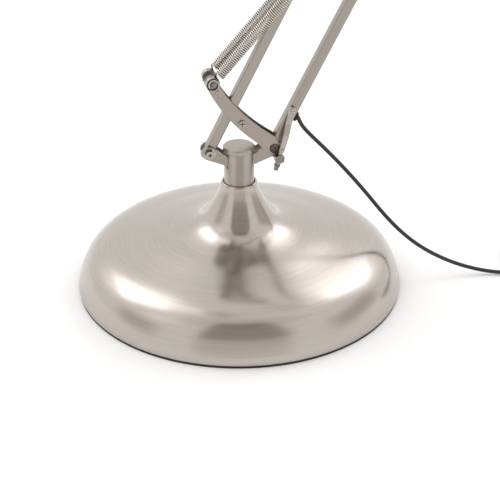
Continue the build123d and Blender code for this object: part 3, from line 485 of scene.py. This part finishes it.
steps = int(COIL_TURNS * POINTS_PER_TURN)
coil_points = [coil_point(step / POINTS_PER_TURN) for step in range(steps)]
cord_route = CORD_RUN + coil_points + CORD_TAIL
cord_curve = bpy.data.curves.new("cord_line", "CURVE")
cord_curve.dimensions = "3D"
cord_curve.resolution_u = CORD_STEPS
cord_spline = cord_curve.splines.new("NURBS")
cord_spline.points.add(len(cord_route) - 1)
for point, place in zip(cord_spline.points, cord_route):
    point.co = (*place, 1.0)
cord_spline.order_u = 3
cord_spline.use_endpoint_u = True
line_object = bpy.data.objects.new("cord_line", cord_curve)
SCENE.collection.objects.link(line_object)
bpy.context.view_layer.update()
line_mesh = bpy.data.meshes.new_from_object(line_object)
cord_line = [v.co.copy() for v in line_mesh.vertices]
bpy.data.objects.remove(line_object)

cord = tube("mains_cord", [Vector(GROMMET_MOUTH)] + cord_line, CORD_R, CORD_SIDES, cord_sheath)
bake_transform(cord)
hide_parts("cord_run", "cord_coil", "cord_tail")

# ---------------------------------------------------------------- springs
WIRE_R = 1.0 * MM
COIL_R = 5.3 * MM
HOOK_R = 7.4 * MM
LAST_TURN_R = 4.4 * MM
WIRE_SIDES = 8
SPRING_START = 11.4 * MM  # from a pin to the coil's end
SPRING_PITCH = 2.45 * MM
SPRING_Y = 13.5 * MM
END_TURNS = 3.5
CLOSING_TURNS = 1.0  # of the end turns, those that close in over the pin's end
END_TURNS_IN_Y, END_TURNS_OUT_Y, CLOSING_Y = 10.3 * MM, 16.8 * MM, 18.4 * MM
STEPS_PER_END_TURN = 28
STEPS_PER_COIL_TURN = 22


def mark_grooves(made, wire, outward):
    """Writes on each point how far out it lies on the wire: 0 on the inside of a turn, 1 on the outside; low
    values get painted shade.
    """
    depth = made.data.attributes.new("outward", "FLOAT", "POINT")
    for i, (vertex, mark) in enumerate(zip(made.data.vertices, depth.data)):
        ring = i // WIRE_SIDES
        mark.value = 0.5 + (vertex.co - wire[ring]).dot(outward[ring]) / (2 * WIRE_R)


def pin_turns(pin, toward, lift, side):
    """Wire middles and outward rays on a pin, from the spiral over its end to where the coil starts."""
    total = int(END_TURNS * STEPS_PER_END_TURN)
    for step in range(total + 1):
        turns = END_TURNS * step / total
        ray = toward * cos(2 * pi * turns) + lift * sin(2 * pi * turns)
        if turns < CLOSING_TURNS:
            share = turns / CLOSING_TURNS
            r = LAST_TURN_R + (HOOK_R - LAST_TURN_R) * share
            y = CLOSING_Y + (END_TURNS_OUT_Y - CLOSING_Y) * share
            outward = (ray + Vector((0.0, side, 0.0))).normalized()
        else:
            share = (turns - CLOSING_TURNS) / (END_TURNS - CLOSING_TURNS)
            r = HOOK_R
            y = END_TURNS_OUT_Y + (END_TURNS_IN_Y - END_TURNS_OUT_Y) * share
            outward = ray.normalized()
        spot = pin + ray * r
        yield Vector((spot.x, side * y, spot.z)), outward


def coil_turns(start, run, across, side):
    """Wire middles and outward rays along the coil between two pins."""
    along = run.normalized()
    body_length = run.length - 2 * SPRING_START
    total = round(body_length / SPRING_PITCH) * STEPS_PER_COIL_TURN
    aside = Vector((0.0, side * SPRING_Y, 0.0))
    for step in range(total + 1):
        turn = 2 * pi * step / STEPS_PER_COIL_TURN
        ray = across * cos(turn) + Vector((0.0, 1.0, 0.0)) * sin(turn)
        middle = start + along * (SPRING_START + body_length * step / total)
        yield middle + ray * COIL_R + aside, ray


def spring(name, low_pin, high_pin, side, low_body, high_body, node):
    """A tension spring: a few turns round each pin and the coil between them."""
    start, end = Vector(low_pin), Vector(high_pin)
    along = (end - start).normalized()
    across = along.cross(Vector((0.0, 1.0, 0.0))).normalized()
    steps = list(pin_turns(start, -along, across, side))
    steps += coil_turns(start, end - start, across, side)
    steps += reversed(list(pin_turns(end, along, across, side)))
    wire = [spot for spot, ray in steps]
    made = tube(name, wire, WIRE_R, WIRE_SIDES, spring_metal)
    mark_grooves(made, wire, [ray for spot, ray in steps])
    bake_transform(made)
    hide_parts(node)


def centre_of(node):
    """The middle of a CAD node's box."""
    low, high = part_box(node)
    return (low + high) / 2


lower_pins = centre_of("bracket_spring_pin"), centre_of("front_arm_spring_pin")
upper_pins = centre_of("elbow_spring_pin"), centre_of("main_arm_spring_pin")
for where, side in (("front", -1), ("rear", 1)):
    spring(f"lower_spring_{where}_wire", *lower_pins, side, "post", "front_arm", f"lower_spring_{where}")
    spring(f"upper_spring_{where}_wire", *upper_pins, side, "elbow", "upper_main", f"upper_spring_{where}")

# ---------------------------------------------------------------- base
SHEET = 1.5
PAD_T = 3.0
BASE_R = 200.0
HEM = 8.0
LIP_Z = 138.0
BASE_SEGMENTS = 224
BASE_STEPS = 150
# the lip's rounded edge, as radius and height above LIP_Z
LIP_ROLL = [
    (20.0, -1.6),
    (19.25, -1.45),
    (19.0, -0.8),
    (19.25, -0.2),
    (19.9, 0.05),
    (20.7, 0.1),
    (21.3, -0.15),
]
BASE_PROFILE = [
    (21.6, LIP_Z),
    (23.6, 130.0),
    (27.8, 120.0),
    (33.2, 110.0),
    (38.5, 101.0),
    (44.3, 92.5),
    (52.4, 85.6),
    (65.0, 79.9),
    (79.5, 75.8),
    (96.0, 72.1),
    (120.0, 66.0),
    (148.0, 59.3),
    (170.0, 51.6),
    (181.3, 44.0),
    (189.3, 34.5),
    (194.5, 24.0),
    (197.7, 14.6),
    (199.4, 8.4),
    (200.0, PAD_T),
]


def inset(curve, amount):
    """Profile points moved inward, square to the curve."""
    moved = []
    for i, (r, z) in enumerate(curve):
        a, b = curve[max(i - 1, 0)], curve[min(i + 1, len(curve) - 1)]
        run = Vector((b[0] - a[0], b[1] - a[1])).normalized()
        moved.append((r + amount * run.y, z - amount * run.x))
    return moved


outside = clamped_spline(BASE_PROFILE, (0.2, -1.0), (0.0, -1.0), BASE_STEPS)
inside = inset(outside, SHEET)
lip = [(r, LIP_Z + z) for r, z in LIP_ROLL]
hem = [
    (BASE_R - 0.35, PAD_T + 0.1),
    (BASE_R - 0.9, PAD_T),
    (BASE_R - SHEET - HEM, PAD_T),
    (BASE_R - SHEET - HEM, PAD_T + SHEET),
    (BASE_R - SHEET - 0.6, PAD_T + SHEET),
]
profile = lip + list(outside[1:-1]) + [(BASE_R, PAD_T + 0.45)] + hem + inside[-6:2:-1]
profile = [(r * MM, z * MM) for r, z in profile]
profile.append(profile[0])
base = lathe("base_dome", profile, 0.0, BASE_SEGMENTS, base_metal)
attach(base, "base")
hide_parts("base_shell")

# ---------------------------------------------------------------- carried CAD nodes
FINISHES = {
    post_metal: ["post_sleeve"],
    cap_metal: ["post_cap"],
    plate_metal: ["bracket_plate_front", "bracket_plate_rear", "elbow_plates", "head_plates"],
    lower_metal: ["front_lower_tube", "rear_lower_tube"],
    upper_metal: ["upper_main_tube", "upper_parallel_tube"],
    stay_metal: ["stay_rod"],
    fastener_metal: [
        "bracket_nut", "bracket_washers", "stay_screw",
        "elbow_nuts", "elbow_washers", "head_nuts", "switch_body", "head_knuckle",
    ],
    bolt_metal: ["bracket_bolt", "elbow_bolts", "head_bolts"],
    stop_metal: ["stop_screws"],
    pin_steel: ["bracket_spring_pin", "front_arm_spring_pin", "elbow_spring_pin", "main_arm_spring_pin"],
    rivet_painted_shade: ["rear_pivot_rivet"],
    dull_metal: ["stay_nut", "stay_trunnion"],
    dark_steel: ["set_screws", "stem", "stem_nut", "base_weight", "post_core", "top_bush"],
    rubber: ["floor_pad", "cord_grommet"],
    nylon: [
        "neck_bush", "front_lower_bushes", "rear_lower_bushes", "upper_main_bushes", "upper_parallel_bushes",
        "stop_spacers",
    ],
    cord_sheath: ["lower_lead", "cord_run", "cord_coil", "cord_tail"],
    black_plastic: ["plug_body", "cord_tie", "lampholder", "switch_button"],
    pin_metal: ["plug_pins"],
    opal: ["bulb"],
    spring_metal: ["lower_spring_front", "lower_spring_rear", "upper_spring_front", "upper_spring_rear"],
    base_metal: ["base_shell", "shade"],
}
SOFT_EDGES = {
    0.3: [
        "bracket_plate_front", "bracket_plate_rear", "elbow_plates", "head_plates",
        "stay_rod", "rear_pivot_rivet",
        "bracket_spring_pin", "front_arm_spring_pin", "elbow_spring_pin", "main_arm_spring_pin",
    ],
    0.25: [
        "bracket_bolt", "bracket_nut", "stay_nut", "elbow_bolts", "elbow_nuts", "head_bolts", "head_nuts",
    ],
    0.2: ["bracket_washers", "elbow_washers", "stay_trunnion", "post_sleeve", "stay_screw"],
    0.15: ["front_lower_tube", "rear_lower_tube", "upper_main_tube", "upper_parallel_tube"],
}


def soften(obj, width):
    """Rounds a CAD node's sharp edges by a width in millimetres, without touching its mesh."""
    weld = obj.modifiers.new("weld", "WELD")
    weld.merge_threshold = 0.01 * MM
    bevel = obj.modifiers.new("soft_edges", "BEVEL")
    bevel.width = width * MM
    bevel.segments = 2
    bevel.limit_method = "ANGLE"
    bevel.angle_limit = radians(50.0)
    bevel.use_clamp_overlap = False
    bevel.harden_normals = True


for finish, names in FINISHES.items():
    for name in names:
        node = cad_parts[name]
        node.data.materials.clear()
        node.data.materials.append(finish)
for width, names in SOFT_EDGES.items():
    for name in names:
        soften(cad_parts[name], width)

# ---------------------------------------------------------------- shade
SHADE_SHEET = 1.2
SHADE_H = 150.0
SHADE_R = 140.0
SHADE_PROFILE = [
    (26.0, 0.0),
    (27.5, 22.0),
    (34.0, 42.0),
    (52.0, 59.0),
    (84.0, 73.0),
    (113.0, 93.0),
    (131.0, 118.0),
    (138.5, 140.0),
    (SHADE_R, SHADE_H),
]
NIPPLE_R = 5.1
CROWN_EDGE = [(14.0, 0.0), (23.0, 0.05), (25.0, 0.45), (25.8, 1.1)]  # radius and depth
SHADE_SEGMENTS = 192
SHADE_STEPS = 90
ROLL_R = 0.65
FACES_IN = -0.02  # a face that looks towards the axis, by its normal's outward part
FACES_DOWN = -0.6
shade_low, shade_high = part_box("shade")
shade_x = (shade_low.x + shade_high.x) / 2
crown_z = shade_high.z / MM
shade_curve = [(r, crown_z - depth) for r, depth in SHADE_PROFILE]
skin = clamped_spline(shade_curve, (0.0, -1.0), (0.05, -1.0), SHADE_STEPS)
lining = inset(skin, SHADE_SHEET)
crown = [(NIPPLE_R, crown_z)] + [(r, crown_z - depth) for r, depth in CROWN_EDGE]
roll = [
    (SHADE_R - ROLL_R + ROLL_R * cos(angle), crown_z - SHADE_H + ROLL_R + ROLL_R * sin(angle))
    for angle in np.linspace(0.0, -pi, 7)
]
shade_profile = crown + list(skin[2:-1]) + roll
shade_inner = lining[-3:2:-1] + [(NIPPLE_R, crown_z - SHADE_SHEET)]
shade_metal = spun_metal("spun_nickel_shade", NICKEL, NICKEL_DARK, 0.27, centre_x=shade_x)
closed = [(r * MM, z * MM) for r, z in shade_profile + shade_inner]
closed.append(closed[0])
shade = lathe("bell_shade", closed, shade_x, SHADE_SEGMENTS, shade_metal)
shade.data.materials.append(enamel)
enamel_top = (crown_z - 1.0) * MM  # the crown's upper face stays metal
enamel_foot = (crown_z - SHADE_H + 1.5) * MM  # so does the rolled edge
for face in shade.data.polygons:
    centre = face.center - Vector((shade_x, 0.0, 0.0))
    outward = face.normal.dot(Vector((centre.x, centre.y, 0.0)).normalized())
    lines_shade = outward < FACES_IN or face.normal.z < FACES_DOWN
    if lines_shade and enamel_foot < centre.z < enamel_top:
        face.material_index = 1
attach(shade, "head")
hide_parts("shade")

# ---------------------------------------------------------------- floor and light
FLOOR_HALF = 2.6
floor_corners = [(x * FLOOR_HALF, y * FLOOR_HALF, 0.0) for x, y in ((-1, -1), (1, -1), (1, 1), (-1, 1))]
floor = keep("floor", mesh_of(floor_corners, [(0, 1, 2, 3)], "floor"))
floor_paint, nodes, links, shader = node_tree("pale_floor")
floor_cloud = noise(nodes, links, object_coordinates(nodes, links), 2.0)
floor_colour = tint(nodes, links, floor_cloud, (0.9, 0.9, 0.9), (0.93, 0.93, 0.93))
links.new(floor_colour, shader.inputs["Base Color"])
shader.inputs["Roughness"].default_value = 0.9
shader.inputs["Specular IOR Level"].default_value = 0.1
shader.inputs["Emission Color"].default_value = (1.0, 1.0, 1.0, 1.0)
shader.inputs["Emission Strength"].default_value = 0.12
floor.data.materials.append(floor_paint)

LIGHT_REACH = 3.0
LIGHT_POWER = 6.0
LIT_PLACE = (0.0, 0.0, 0.1)


def studio_place(heading, height):
    """A light's place at a heading from -Y towards +X and a height angle, both seen from the base."""
    a, e = radians(heading), radians(height)
    return (LIGHT_REACH * sin(a) * cos(e), -LIGHT_REACH * cos(a) * cos(e), LIGHT_REACH * sin(e))


def area_light(name, place, size):
    """A square soft light that faces the base."""
    light = bpy.data.lights.new(name, "AREA")
    light.shape = "RECTANGLE"
    light.size = size
    light.size_y = size
    light.energy = LIGHT_POWER
    obj = bpy.data.objects.new(name, light)
    obj.location = place
    aim = Vector(LIT_PLACE) - Vector(place)
    obj.rotation_mode = "QUATERNION"
    obj.rotation_quaternion = aim.to_track_quat("-Z", "Y")
    SCENE.collection.objects.link(obj)


area_light("left_softbox", studio_place(-132, 50), 1.5)
area_light("right_softbox", studio_place(127, 44), 1.4)

world = bpy.data.worlds.new("studio")
SCENE.world = world
world.use_nodes = True
sky, sky_links = world.node_tree.nodes, world.node_tree.links
look = sky.new("ShaderNodeTexCoord").outputs["Generated"]


def sky_math(operation, first, second=None):
    """A value worked out from numbers or from other nodes' values."""
    made = sky.new("ShaderNodeMath")
    made.operation = operation
    for socket, value in zip(made.inputs, (first, second)):
        if isinstance(value, (int, float)):
            socket.default_value = value
        elif value is not None:
            sky_links.new(value, socket)
    return made.outputs["Value"]


def step_up(value, middle, soft):
    """0 well below a middle value and 1 well above it."""
    made = sky.new("ShaderNodeMapRange")
    made.interpolation_type = "SMOOTHSTEP"
    made.inputs["From Min"].default_value = middle - soft
    made.inputs["From Max"].default_value = middle + soft
    sky_links.new(value, made.inputs["Value"])
    return made.outputs["Result"]


looked = sky.new("ShaderNodeSeparateXYZ")
sky_links.new(look, looked.inputs["Vector"])
ahead = sky_math("MULTIPLY", looked.outputs["Y"], -1.0)
sky_heading = sky_math("ARCTAN2", looked.outputs["X"], ahead)
sky_height = sky_math("ARCSINE", looked.outputs["Z"])
WARM_DARK = (1.0, 0.84, 0.72)
WHITE = (1.0, 1.0, 1.0)
# darker parts: headings from and to, heights from and to, soft edge, in degrees, and depth
STUDIO_DARKS = [
    (-41, 27, 23, 74, 2.5, 0.55),
    (-41, 23, -4, 23, 2.5, 0.24),
    (-80, 70, 58, 91, 9, 0.16),
    (-102, -72, 4, 27, 7, 0.32),
    (58, 100, 4, 30, 7, 0.36),
]
# brighter parts: heading, height, half width and half height, in degrees, and added strength
STUDIO_LIGHTS = [
    (-134, 52, 38, 42, 1.0),
    (-84, 48, 22, 20, 0.3),
    (124, 42, 28, 32, 1.0),
]


def between(value, low, high, soft):
    """1 between two angles in degrees and 0 outside them, with a soft edge."""
    over_low = step_up(value, radians(low), radians(soft))
    over_high = step_up(value, radians(high), radians(soft))
    return sky_math("MULTIPLY", over_low, sky_math("SUBTRACT", 1.0, over_high))


def squared_share(value, middle, half):
    """The square of how far an angle lies from a middle, counted in half widths."""
    share = sky_math("DIVIDE", sky_math("SUBTRACT", value, radians(middle)), radians(half))
    return sky_math("MULTIPLY", share, share)


def glow(middle_heading, middle_height, half_width, half_height, added):
    """A soft oval that fades to nothing at its edge."""
    across = squared_share(sky_heading, middle_heading, half_width)
    up = squared_share(sky_height, middle_height, half_height)
    off = sky_math("SQRT", sky_math("ADD", across, up))
    return sky_math("MULTIPLY", sky_math("SUBTRACT", 1.0, step_up(off, 0.5, 0.5)), added)


shade_of_sky = 1.0
for low_heading, high_heading, low_height, high_height, soft, depth in STUDIO_DARKS:
    across_sky = between(sky_heading, low_heading, high_heading, soft)
    up_sky = between(sky_height, low_height, high_height, soft)
    part = sky_math("SUBTRACT", 1.0, sky_math("MULTIPLY", sky_math("MULTIPLY", across_sky, up_sky), depth))
    shade_of_sky = sky_math("MULTIPLY", shade_of_sky, part)
strength = shade_of_sky
for light_part in STUDIO_LIGHTS:
    strength = sky_math("ADD", strength, glow(*light_part))
sky_links.new(strength, sky["Background"].inputs["Strength"])
sky_colour = tint(sky, sky_links, shade_of_sky, WARM_DARK, WHITE)
sky_links.new(sky_colour, sky["Background"].inputs["Color"])
